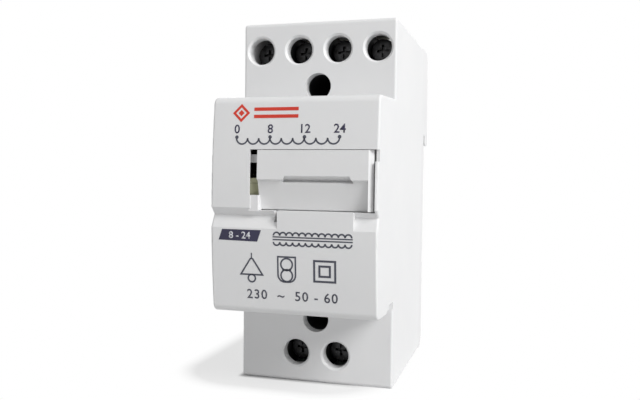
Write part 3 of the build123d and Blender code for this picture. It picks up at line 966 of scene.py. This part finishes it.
@dataclass
class NoseBlank:
    """Blank in the nose's window: flush upper face, finger hold, raked lower face and cheek."""

    finishes: Finishes
    crown: Crown = Crown()
    flange: float = 1.4 * MM
    front_gap: float = 0.12 * MM
    lower_gap: float = 0.2 * MM
    ridge: float = 5.5 * MM
    step: float = 0.6 * MM
    rake: float = 1.5 * MM
    cheek: float = 0.9 * MM
    reach: float = 0.3 * MM
    foot_setback: float = 3.1 * MM
    flange_setback: float = 2.35 * MM
    hold: tuple[float, float] = (-2.3 * MM, 12.6 * MM)
    hold_rise: float = 0.75 * MM
    hold_depth: float = 2.2 * MM
    hold_lip: float = 0.4 * MM
    hold_taper: float = 0.7 * MM
    soften: float = 0.1 * MM
    sliver: float = 0.04 * MM

    def dress(self) -> None:
        """Models the blank on its node's box, with its left end reaching a little past it."""
        low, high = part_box("nose_insert")
        inner = high.x - self.cheek
        body = prism("window_blank", self._outline(low, high, raked=True), low.x - self.reach, inner)
        cheek = prism("blank_cheek", self._outline(low, high, raked=False), inner, high.x)
        for vertex in cheek.data.vertices:
            if vertex.co.x > inner + self.cheek / 2:
                vertex.co.y = min(vertex.co.y + self.cheek, high.y)
        combine(body, self._hold_blade(), "DIFFERENCE")
        combine(body, cheek, "UNION")
        clean_up(body, self.sliver, 0.5)
        sharp = math.radians(ROUND_ANGLE)
        apply_modifier(
            body, "BEVEL", width=self.soften, segments=2, limit_method="ANGLE", angle_limit=sharp,
        )
        clean_up(body, self.sliver / 8, 0.1)
        shade_evenly(body, EVEN_ANGLE)
        coat(body, self.finishes["insert"])
        finish_piece(body, "housing", ["nose_insert"])

    def _outline(self, low: Vector, high: Vector, raked: bool) -> list[Point]:
        """Side outline of the body, or of the cheek, which isn't raked.

        Args:
            low: Lowest corner of the node's box.
            high: Highest corner of the node's box.
            raked: Whether the lower face is set back and raked.

        Returns:
            The outline's points (Y, Z).
        """
        top = high.z - self.flange - self.front_gap
        bottom = low.z + self.flange + self.lower_gap
        foot = self.crown.at(bottom) + self.foot_setback
        flange = self.crown.at(0.0) + self.flange_setback
        front = self.crown.arc(top, self.ridge)
        if raked:
            step = self.crown.at(self.ridge) + self.step
            front += [(step, self.ridge - self.step / 2), (step + self.rake, bottom)]
        else:
            front += self.crown.arc(self.ridge, bottom)[1:]
        back = [(foot, bottom), (foot, low.z), (high.y, low.z), (high.y, high.z)]
        return [*front, *back, (flange, high.z), (flange, top)]

    def _hold_blade(self) -> Object:
        """Shape of the finger hold over the ridge: a steep face, a lip below it and slanted ends.

        Returns:
            The shape to cut out.
        """
        upper = self.ridge + self.hold_rise
        middle = self.ridge - self.step / 2
        lower = middle - self.hold_lip
        ridge = self.crown.at(self.ridge)
        outline = [
            (self.crown.at(upper), upper), (ridge + self.hold_depth, middle),
            (ridge + self.step, lower), (ridge - self.step, lower), (ridge - self.step, upper),
        ]
        blade = prism("hold_blade", outline, *self.hold)
        centre = sum(self.hold) / 2
        for vertex in blade.data.vertices:
            if vertex.co.z > self.ridge:
                vertex.co.x += math.copysign(self.hold_taper, centre - vertex.co.x)
        return blade


@dataclass
class CrossScrew:
    """A screw with a cross recess, modelled on one node and copied to its fellows."""

    head_radius: float
    head_height: float
    core_radius: float
    crest_radius: float
    pitch: float
    bevel: float = 0.25 * MM
    arm: float = 1.75 * MM
    slot: float = 0.8 * MM
    slot_depth: float = 1.0 * MM
    slot_taper: float = 0.62
    tip_bevel: float = 0.35 * MM
    flank: float = 0.42
    sides: int = 48
    steps: int = 24

    def build(self, name: str, place: Vector, front: float, tip: float) -> Object:
        """Models one screw that points along +Y.

        Args:
            name: Name of the piece.
            place: A point on the screw's axis.
            front: Y of the head's face.
            tip: Y of the tip.

        Returns:
            The screw.
        """
        x, z = place.x, place.z
        head = self._head(x, z, front)
        shank = self._shank(x, z, front + self.head_height / 2, tip)
        thread = self._thread(x, z, front + self.head_height, tip)
        screw = merge(name, [head, shank, thread])
        take_up(screw)
        bpy.ops.object.shade_smooth_by_angle(angle=math.radians(ROUND_ANGLE))
        return screw

    def _cylinder(self, name: str, radius: float, length: float, place: tuple[float, ...]) -> Object:
        """Cylinder along Y around a centre.

        Args:
            name: Name of the mesh.
            radius: Its radius.
            length: Its length.
            place: Its centre.

        Returns:
            The closed mesh.
        """
        deselect()
        bpy.ops.mesh.primitive_cylinder_add(
            vertices=self.sides, radius=radius, depth=length, location=place, rotation=FACE_FRONT,
        )
        piece = added(name)
        settle(piece)
        return piece

    def _bevel(self, piece: Object, low: float, high: float, offset: float, segments: int) -> None:
        """Bevels the edges that lie wholly between two depths.

        Args:
            piece: The piece.
            low: Lowest Y of the edges.
            high: Highest Y of the edges.
            offset: Width of the bevel.
            segments: Number of its steps.
        """
        points = [vertex.co.y for vertex in piece.data.vertices]
        with editing(piece, "EDGE", lambda edge: all(low < points[i] < high for i in edge.vertices)):
            bpy.ops.mesh.bevel(offset=offset, segments=segments, affect="EDGES")

    def _head(self, x: float, z: float, front: float) -> Object:
        """Cheese head with a rounded rim and a cross recess.

        Args:
            x: X of the screw's axis.
            z: Z of the screw's axis.
            front: Y of the head's face.

        Returns:
            The head.
        """
        centre = (x, front + self.head_height / 2, z)
        head = self._cylinder("screw_head", self.head_radius, self.head_height, centre)
        self._bevel(head, -math.inf, front + self.head_height / 4, self.bevel, 3)
        for turn in (0.0, math.pi / 2):
            combine(head, self._blade(x, z, front, turn), "DIFFERENCE")
        return head

    def _blade(self, x: float, z: float, front: float, turn: float) -> Object:
        """Tapered blade that cuts one arm pair of the recess.

        Args:
            x: X of the screw's axis.
            z: Z of the screw's axis.
            front: Y of the head's face.
            turn: Turn around the axis.

        Returns:
            The blade.
        """
        deselect()
        bpy.ops.mesh.primitive_cube_add(size=1.0, location=(x, front, z))
        blade = added("recess_blade")
        blade.scale = (2 * self.arm, 2 * self.slot_depth, self.slot)
        blade.rotation_euler = (0, turn, 0)
        settle(blade)
        taper = (self.slot_taper, 1.0, self.slot_taper)
        with editing(blade, "FACE", lambda face: face.normal.y > 0.9):
            bpy.ops.transform.resize(value=taper, center_override=(x, front, z))
        return blade

    def _shank(self, x: float, z: float, start: float, tip: float) -> Object:
        """Shank with a bevelled tip.

        Args:
            x: X of the screw's axis.
            z: Z of the screw's axis.
            start: Y of the shank's start.
            tip: Y of the tip.

        Returns:
            The shank.
        """
        shank = self._cylinder("screw_shank", self.core_radius, tip - start, (x, (start + tip) / 2, z))
        self._bevel(shank, tip - self.tip_bevel / 2, math.inf, self.tip_bevel, 1)
        return shank

    def _thread(self, x: float, z: float, start: float, tip: float) -> Object:
        """Helical ridge along the shank.

        Args:
            x: X of the screw's axis.
            z: Z of the screw's axis.
            start: Y of the thread's start.
            tip: Y of the tip.

        Returns:
            The ridge.
        """
        turns = int((tip - start - self.tip_bevel) / self.pitch) - 1
        root = self.core_radius - (self.crest_radius - self.core_radius) / 4
        foot = self.pitch * self.flank
        ridge = circle("screw_thread", 3, 1.0, (0, 0, 0))
        corners = ((root, 0.0, -foot), (self.crest_radius, 0.0, 0.0), (root, 0.0, foot))
        for vertex, corner in zip(ridge.data.vertices, corners):
            vertex.co = corner
        wind(ridge, self.pitch, turns, self.steps, use_normal_calculate=True)
        ridge.rotation_euler = (-math.pi / 2, 0, 0)
        ridge.location = (x, start + self.pitch / 2, z)
        settle(ridge)
        return ridge


@dataclass
class Terminals:
    """The six screw terminals: screws, cages, contact bars and leads."""

    finishes: Finishes
    upper: tuple[str, ...] = ("0v", "8v", "12v", "24v")
    lower: tuple[str, ...] = ("mains_left", "mains_right")
    screw: CrossScrew = field(
        default_factory=lambda: CrossScrew(2.75 * MM, 2.2 * MM, 1.5 * MM, 1.74 * MM, 0.6 * MM)
    )

    def dress(self, nodes: dict[str, Object]) -> None:
        """Models the screws and coats the other terminal pieces.

        Args:
            nodes: The part's nodes by name.
        """
        first, start = None, Vector()
        for name in (*self.upper, *self.lower):
            low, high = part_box("terminal_screw_" + name)
            place = (low + high) / 2
            if first is None:
                piece = first = self.screw.build("screw_" + name, place, low.y, high.y)
                start = place
                coat(piece, self.finishes["terminal_screw"])
            else:
                piece = copied(first, "screw_" + name, place - start)
            finish_piece(piece, "screw_" + name, ["terminal_screw_" + name])
            coat(nodes["terminal_cage_" + name], self.finishes["cage"])
            coat(nodes["terminal_tag_" + name], self.finishes["tag"])
            lead = "secondary_lead" if name in self.upper else "mains_lead"
            coat(nodes["lead_" + name], self.finishes[lead])


@dataclass
class CarrierScrews:
    """The two screws that hold the terminal carriers on the base."""

    finishes: Finishes
    screw: CrossScrew = field(
        default_factory=lambda: CrossScrew(
            2.6 * MM, 1.9 * MM, 1.15 * MM, 1.49 * MM, 1.1 * MM, arm=1.65 * MM,
        )
    )

    def dress(self) -> None:
        """Models the upper screw and copies it below."""
        (low, high), (twin_low, twin_high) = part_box("carrier_screw_upper"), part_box("carrier_screw_lower")
        place = (low + high) / 2
        screw = self.screw.build("well_screw_upper", place, low.y, high.y)
        coat(screw, self.finishes["carrier_screw"])
        twin = copied(screw, "well_screw_lower", (twin_low + twin_high) / 2 - place)
        finish_piece(screw, "housing", ["carrier_screw_upper"])
        finish_piece(twin, "housing", ["carrier_screw_lower"])


@dataclass
class LatchSpring:
    """Round-wire compression spring behind the rail latch."""

    finishes: Finishes
    wire_radius: float = 0.2 * MM
    turns: int = 6
    pressed_length: float = 4.3 * MM
    sides: int = 12
    steps: int = 28
    smooth_angle: float = 50.0

    def dress(self) -> None:
        """Winds the spring where its node is."""
        low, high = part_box("latch_spring")
        centre = (low + high) / 2
        coil_radius = (high.x - low.x) / 2 - self.wire_radius
        height = high.z - low.z - 2 * self.wire_radius
        coil = circle("coil_spring", self.sides, self.wire_radius, (coil_radius, 0, 0))
        wind(coil, height / self.turns, self.turns, self.steps)
        bpy.ops.object.shade_smooth_by_angle(angle=math.radians(self.smooth_angle))
        coil.location = (centre.x, centre.y, low.z + self.wire_radius)
        settle(coil)
        coat(coil, self.finishes["spring"])
        finish_piece(coil, "housing", ["latch_spring"])
        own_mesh(coil)


@dataclass
class FrontPrint:
    """The printing on the nose: numbers, the tap scale, plain fields and symbols."""

    finishes: Finishes
    cover: Object
    ink: float = 0.03 * MM
    lift: float = 0.002 * MM
    line: float = 0.33 * MM
    broad_line: float = 0.42 * MM
    start_y: float = -70.0 * MM
    figure_share: float = 0.69
    number_height: float = 1.75 * MM
    number_z: float = 15.8 * MM
    tap_marks: tuple[tuple[str, float], ...] = (("0", -12.2), ("8", -4.9), ("12", 2.45), ("24", 9.75))
    scale_left: float = -12.25 * MM
    scale_right: float = 9.75 * MM
    scale_z: float = 13.9 * MM
    arcs: int = 9
    dot: float = 0.38 * MM
    turns: int = 12
    turn_radius: float = 0.85 * MM
    round_sides: int = 32
    small_sides: int = 24

    def __post_init__(self) -> None:
        """Builds the search tree over the cover's surface."""
        graph = bpy.context.evaluated_depsgraph_get()
        self._surface = BVHTree.FromObject(self.cover, graph)

    def _lay(self, piece: Object, lift: float) -> None:
        """Lays a flat shape on the nose and gives it the ink's thickness.

        Args:
            piece: A flat mesh at any depth.
            lift: Distance from the surface to the ink's underside.
        """
        for vertex in piece.data.vertices:
            start = Vector((vertex.co.x, self.start_y, vertex.co.z))
            hit = self._surface.ray_cast(start, Vector((0, 1, 0)))
            vertex.co.y = hit[0].y - lift
        apply_modifier(piece, "SOLIDIFY", thickness=self.ink, offset=1.0, use_even_offset=False)

    def _text(
        self, words: str, x: float, z: float, height: float, weight: float, spacing: float = 1.0,
    ) -> Object:
        """Sets a line of plain characters, centred on a point.

        Args:
            words: The characters.
            x: Centre across.
            z: Centre height.
            height: Height of a figure.
            weight: Extra boldness of the strokes, as a share of the size.
            spacing: Space between the figures, 1 for the typeface's own.

        Returns:
            The flat mesh.
        """
        deselect()
        bpy.ops.object.text_add(location=(0, 0, 0), rotation=(0, 0, 0))
        line = bpy.context.active_object
        line.data.body = words
        line.data.align_x = "CENTER"
        line.data.align_y = "CENTER"
        line.data.size = height / self.figure_share
        line.data.offset = weight * line.data.size
        line.data.space_character = spacing
        line.data.resolution_u = 4
        take_up(line)
        bpy.ops.object.convert(target="MESH")
        piece = added("words")
        heights = [vertex.co.y for vertex in piece.data.vertices]
        piece.data.transform(Matrix.Translation((0, -(max(heights) + min(heights)) / 2, 0)))
        piece.rotation_euler = FACE_FRONT
        piece.location = (x, self.start_y, z)
        settle(piece)
        return piece

    def _disc(self, x: float, z: float, radius: float, sides: int) -> Object:
        """Flat disc or polygon facing the front."""
        return circle("disc", sides, radius, (x, self.start_y, z), "NGON")

    def _ring(self, x: float, z: float, radius: float, sides: int) -> Object:
        """Outline of a disc or polygon, with the print's line width.

        Args:
            x: Centre across.
            z: Centre height.
            radius: Radius of its corners.
            sides: Number of its sides.

        Returns:
            The flat mesh.
        """
        piece = self._disc(x, z, radius, sides)
        self._hollow(piece)
        return piece

    def _hollow(self, piece: Object, width: float = 0.0) -> None:
        """Turns a flat field into an outline, with the print's line width if no other is given.

        Args:
            piece: The field.
            width: Width of the line, or 0 for the print's own.
        """
        with editing(piece, "FACE"):
            bpy.ops.mesh.inset(thickness=width or self.line)
            bpy.ops.mesh.delete(type="FACE")

    def _field(self, corners: list[Point], cuts: int) -> Object:
        """Flat four-sided field.

        Args:
            corners: Lower left, lower right, upper left and upper right (X, Z) in millimetres.
            cuts: Subdivisions, so that it can follow the crown.

        Returns:
            The flat mesh.
        """
        deselect()
        bpy.ops.mesh.primitive_plane_add(size=1.0, rotation=FACE_FRONT)
        piece = added("field")
        settle(piece)
        order = sorted(piece.data.vertices, key=lambda v: (round(v.co.z, 3), v.co.x))
        for vertex, (x, z) in zip(order, corners):
            vertex.co = (x * MM, self.start_y, z * MM)
        if cuts:
            with editing(piece):
                bpy.ops.mesh.subdivide(number_cuts=cuts)
        return piece

    def _bar(self, x0: float, x1: float, z0: float, z1: float, cuts: int = 0) -> Object:
        """Flat upright rectangle between two corners in millimetres."""
        return self._field([(x0, z0), (x1, z0), (x0, z1), (x1, z1)], cuts)

    def _place(self, name: str, pieces: list[Object], finish: str, layer: int = 0) -> None:
        """Joins flat shapes into one print, lays it on the nose and coats it.

        Args:
            name: Name of the print.
            pieces: Its flat shapes.
            finish: Name of the ink.
            layer: 0 on the plastic, 1 on other ink.
        """
        piece = merge(name, pieces)
        self._lay(piece, self.lift + layer * self.ink)
        coat(piece, self.finishes[finish])
        finish_piece(piece, "housing", [])

    def _halve(self, ring: Object, z: float, keep_lower: bool) -> None:
        """Keeps a ring's lower or upper half.

        Args:
            ring: The ring.
            z: Height of its centre.
            keep_lower: Whether the lower half stays.
        """
        with editing(ring):
            bpy.ops.mesh.bisect(
                plane_co=(0, 0, z), plane_no=(0, 0, 1), clear_outer=keep_lower,
                clear_inner=not keep_lower, use_fill=False,
            )

    def _tap_scale(self) -> Object:
        """Row of hanging arcs, one modelled and repeated.

        Returns:
            The flat mesh.
        """
        width = (self.scale_right - self.scale_left) / self.arcs
        radius = width / 2
        x, z = self.scale_left + radius, self.scale_z
        piece = self._ring(x, z, radius + self.line / 2, self.round_sides)
        self._halve(piece, z, keep_lower=True)
        repeat(piece, self.arcs, width)
        return piece

    def dress(self) -> None:
        """Prints everything on the nose."""
        self._numbers()
        self._scale()
        self._maker_field()
        self._rating_field()
        self._symbols()

    def _numbers(self) -> None:
        """The tap voltages above the scale."""
        numbers = [
            self._text(words, x * MM, self.number_z, self.number_height, 0.012)
            for words, x in self.tap_marks
        ]
        self._place("tap_numbers", numbers, "navy_ink")

    def _scale(self) -> None:
        """The arcs under the numbers, with a dot at each tap."""
        dots = [
            self._disc(x * MM, self.scale_z + 0.2 * MM, self.dot, 16)
            for _, x in self.tap_marks
        ]
        self._place("tap_scale", [self._tap_scale(), *dots], "slate_ink")

    def _maker_field(self) -> None:
        """A plain lozenge and bar at the top of the nose."""
        x, z = -11.4 * MM, 19.1 * MM
        lozenge = self._disc(x, z, 1.9 * MM, 4)
        self._hollow(lozenge, 0.5 * MM)
        core = self._disc(x, z, 0.65 * MM, 4)
        bars = [
            self._bar(-8.6, 1.0, 18.0, 18.7, 4),
            self._bar(-8.6, 1.0, 19.5, 20.2, 4),
        ]
        self._place("top_mark", [lozenge, core, *bars], "red_ink")

    def _rating_field(self) -> None:
        """The dark slanted field with pale figures, and the figures at the bottom."""
        corners = [(-16.0, -7.2), (-7.4, -7.35), (-15.2, -4.95), (-6.55, -4.95)]
        self._place("tap_field", [self._field(corners, 8)], "navy_ink")
        figures = self._text("8 - 24", -11.3 * MM, -6.1 * MM, 1.4 * MM, 0.014)
        self._place("tap_field_figures", [figures], "pale_ink", 1)
        rating = self._text("230  ~  50 - 60", -0.1 * MM, -18.3 * MM, 1.9 * MM, 0.01, 1.15)
        self._place("mains_figures", [rating], "slate_ink")

    def _symbols(self) -> None:
        """Winding symbol, bell, two coils in a cup and class symbol."""
        for name, shapes in (
            ("winding_symbol", self._winding_symbol), ("bell_symbol", self._bell_symbol),
            ("coil_symbol", self._coil_symbol), ("class_symbol", self._class_symbol),
        ):
            self._place(name, shapes(), "slate_ink")

    def _class_symbol(self) -> list[Object]:
        """One square inside another.

        Returns:
            The symbol's flat shapes.
        """
        outer = self._bar(4.6, 9.4, -15.2, -10.6)
        inner = self._bar(5.7, 8.3, -14.15, -11.65)
        for square in (outer, inner):
            self._hollow(square, self.broad_line)
        return [outer, inner]

    def _winding_symbol(self) -> list[Object]:
        """Two rows of turns with the core's lines between them.

        Returns:
            The symbol's flat shapes.
        """
        shapes = [self._bar(-4.0, 12.8, z, z + 0.26, 4) for z in (-6.35, -6.9)]
        for z, keep_lower in ((-5.95, False), (-7.25, True)):
            shapes.append(self._turns(z * MM, keep_lower))
        return shapes

    def _turns(self, z: float, keep_lower: bool) -> Object:
        """A row of half turns above or below a line.

        Args:
            z: Height of the line.
            keep_lower: Whether the turns hang below it.

        Returns:
            The flat mesh.
        """
        piece = self._ring(-3.15 * MM, z, self.turn_radius, self.small_sides)
        self._halve(piece, z, keep_lower)
        repeat(piece, self.turns, 2 * self.turn_radius - self.line)
        return piece

    def _rounded(self, piece: Object, radius: float, below: float, above: float) -> None:
        """Rounds the corners of a flat field between two heights.

        Args:
            piece: The field.
            radius: Size of the rounding.
            below: Lower height.
            above: Upper height.
        """
        with editing(piece, "VERT", lambda vertex: below < vertex.co.z < above):
            bpy.ops.mesh.bevel(offset=radius, segments=6, affect="VERTICES")

    def _bell_symbol(self) -> list[Object]:
        """Outline of a bell with its stalk and clapper.

        Returns:
            The symbol's flat shapes.
        """
        bell = self._field([(-11.4, -14.4), (-6.0, -14.4), (-9.0, -10.7), (-8.4, -10.7)], 0)
        self._rounded(bell, 0.28 * MM, -11.0 * MM, -10.0 * MM)
        self._hollow(bell)
        stalk = self._bar(-8.82, -8.58, -10.7, -9.7)
        clapper = self._ring(-8.7 * MM, -15.0 * MM, 0.95 * MM, self.small_sides)
        return [bell, stalk, clapper]

    def _coil_symbol(self) -> list[Object]:
        """Two rings, one above the other, in a cup with a round bottom.

        Returns:
            The symbol's flat shapes.
        """
        cup = self._field([(-3.1, -15.6), (1.0, -15.6), (-3.1, -10.1), (1.0, -10.1)], 0)
        self._rounded(cup, 1.6 * MM, -16.0 * MM, -15.0 * MM)
        self._hollow(cup)
        rings = [
            self._ring(-1.05 * MM, z * MM, 1.4 * MM, self.round_sides) for z in (-11.8, -14.1)
        ]
        middle = self._bar(-2.0, -0.1, -13.1, -12.75)
        return [cup, middle, *rings]


@dataclass(frozen=True)
class SoftLamp:
    """Square area lamp that faces the part."""

    name: str
    power: float
    distance: float
    size: float
    source: tuple[float, float, float]


@dataclass
class Studio:
    """Camera, lamps, floor and world of the picture."""

    aim: tuple[float, float, float] = (0.738 * MM, -44.0 * MM, 0.791 * MM)
    azimuth: float = 16.338
    elevation: float = 2.163
    distance: float = 157.957 * MM
    roll: float = 0.606
    lens: float = 39.276
    floor_radius: float = 1.6
    floor_sides: int = 96
    paper: float = 0.68
    paper_roughness: float = 0.8
    paper_shine: float = 0.1
    footprint: tuple[Point, Point] = ((-17.8 * MM, -44.0 * MM), (17.8 * MM, 0.0))
    shaded_side: tuple[Point, Point] = ((-18.0 * MM, -38.0 * MM), (0.0, 0.0))
    contact: float = 1.5 * MM
    shadow_reach: float = 5 * MM
    white_reach: float = 19 * MM
    paper_glow: float = 0.64
    ambient: float = 0.378
    key: SoftLamp = SoftLamp("key", 7.8, 1.0, 0.43, (0.72, -0.41, 0.56))
    fill: SoftLamp = SoftLamp("fill", 1.6, 1.0, 0.6, (-0.3, 0.9, 0.3))

    def build(self) -> None:
        """Sets up the whole studio."""
        self._camera()
        for lamp in (self.key, self.fill):
            self._lamp(lamp)
        self._world()
        self._floor()
        bpy.context.scene.view_settings.view_transform = "Standard"

    def _camera(self) -> None:
        """Places the camera at the photograph's viewing angle."""
        azimuth, elevation = math.radians(self.azimuth), math.radians(self.elevation)
        back = Vector((
            math.sin(azimuth) * math.cos(elevation),
            -math.cos(azimuth) * math.cos(elevation),
            math.sin(elevation),
        ))
        data = bpy.data.cameras.new("camera")
        data.lens = self.lens
        data.sensor_width = 36.0
        data.clip_start = 0.01
        data.clip_end = 20.0
        camera = bpy.data.objects.new("camera", data)
        bpy.context.scene.collection.objects.link(camera)
        turn = (-back).to_track_quat("-Z", "Y").to_matrix().to_4x4()
        roll = Matrix.Rotation(math.radians(self.roll), 4, "Z")
        place = Vector(self.aim) + back * self.distance
        camera.matrix_world = Matrix.Translation(place) @ turn @ roll
        bpy.context.scene.camera = camera

    def _lamp(self, lamp: SoftLamp) -> None:
        """Adds a soft lamp.

        Args:
            lamp: The lamp.
        """
        data = bpy.data.lights.new(lamp.name, "AREA")
        data.energy = lamp.power
        data.size = lamp.size
        light = bpy.data.objects.new(lamp.name, data)
        bpy.context.scene.collection.objects.link(light)
        direction = Vector(lamp.source).normalized()
        light.location = direction * lamp.distance
        light.rotation_euler = direction.to_track_quat("Z", "Y").to_euler()

    def _seen_rays(self, wires: Wiring) -> NodeSocket:
        """Mask of camera, glossy and transmission rays.

        Args:
            wires: Tree that gets the nodes.

        Returns:
            The mask.
        """
        path = wires.add("ShaderNodeLightPath").outputs
        either = wires.number("MAXIMUM", path["Is Camera Ray"], path["Is Glossy Ray"])
        return wires.number("MAXIMUM", either, path["Is Transmission Ray"])

    def _world(self) -> None:
        """Even light on the object, and white behind it."""
        world = bpy.data.worlds.new("studio")
        bpy.context.scene.world = world
        world.use_nodes = True
        wires = Wiring(world.node_tree)
        strength = wires.scaled(self._seen_rays(wires), self.ambient, 1.0)
        background = wires.tree.nodes["Background"]
        wires.feed(background, {"Color": (1.0, 1.0, 1.0, 1.0), "Strength": strength})

    def _reach(self, wires: Wiring, low: Point, high: Point) -> NodeSocket:
        """Distance on the floor from a rectangle.

        Args:
            wires: The floor's node tree.
            low: The rectangle's corner with the lower X and Y.
            high: The rectangle's corner with the higher X and Y.

        Returns:
            The distance in metres, 0 inside the rectangle.
        """
        (x0, y0), (x1, y1) = low, high
        shift = (-(x0 + x1) / 2, -(y0 + y1) / 2, 0.0)
        either = wires.vector("ABSOLUTE", wires.place(Location=shift, Scale=(1.0, 1.0, 0.0)))
        beyond = wires.vector("SUBTRACT", either, ((x1 - x0) / 2, (y1 - y0) / 2, 0.0))
        return wires.vector("LENGTH", wires.vector("MAXIMUM", beyond, (0.0, 0.0, 0.0)))

    def _floor(self) -> None:
        """Pale floor that keeps the shadow and fades to white."""
        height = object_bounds()[0].z
        deselect()
        bpy.ops.mesh.primitive_circle_add(
            vertices=self.floor_sides, radius=self.floor_radius, fill_type="TRIFAN", location=(0, 0, height),
        )
        floor = added("floor")
        settle(floor)
        bench = new_bench("floor_paper")
        bench.feed(bench.shader, {
            "Base Color": (self.paper, self.paper, self.paper, 1.0),
            "Roughness": self.paper_roughness,
            "Specular IOR Level": self.paper_shine,
        })
        near, far = self._reach(bench, *self.footprint), self._reach(bench, *self.shaded_side)
        near = bench.scaled(near, 0.0, self.paper_glow, 0.0, self.contact, SMOOTH)
        far = bench.scaled(far, 0.0, 1.0, self.shadow_reach, self.white_reach, SMOOTH)
        glow = bench.number("MAXIMUM", near, far)
        mask = bench.number("MULTIPLY", glow, self._seen_rays(bench))
        mix = bench.feed(bench.add("ShaderNodeMixShader"), {"Fac": mask})
        bench.join(bench.shader.outputs["BSDF"], mix.inputs[1])
        bench.join(bench.add("ShaderNodeEmission").outputs["Emission"], mix.inputs[2])
        bench.join(mix.outputs["Shader"], bench.tree.nodes["Material Output"].inputs["Surface"])
        coat(floor, bench.material)
        floor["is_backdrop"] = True


def main() -> None:
    """Builds the studio and dresses every piece of the transformer."""
    logging.basicConfig(level=logging.INFO, format="%(message)s")
    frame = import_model()
    Studio().build()
    finishes = Finishes(Groups())
    nodes = frame["nodes"]
    cover = Cover(finishes).dress(nodes["front_cover"])
    Housing(finishes).dress(nodes)
    TapeEnd(finishes).dress()
    NoseBlank(finishes).dress()
    Terminals(finishes).dress(nodes)
    CarrierScrews(finishes).dress()
    LatchSpring(finishes).dress()
    FrontPrint(finishes, cover).dress()


if __name__ == "__main__":
    main()
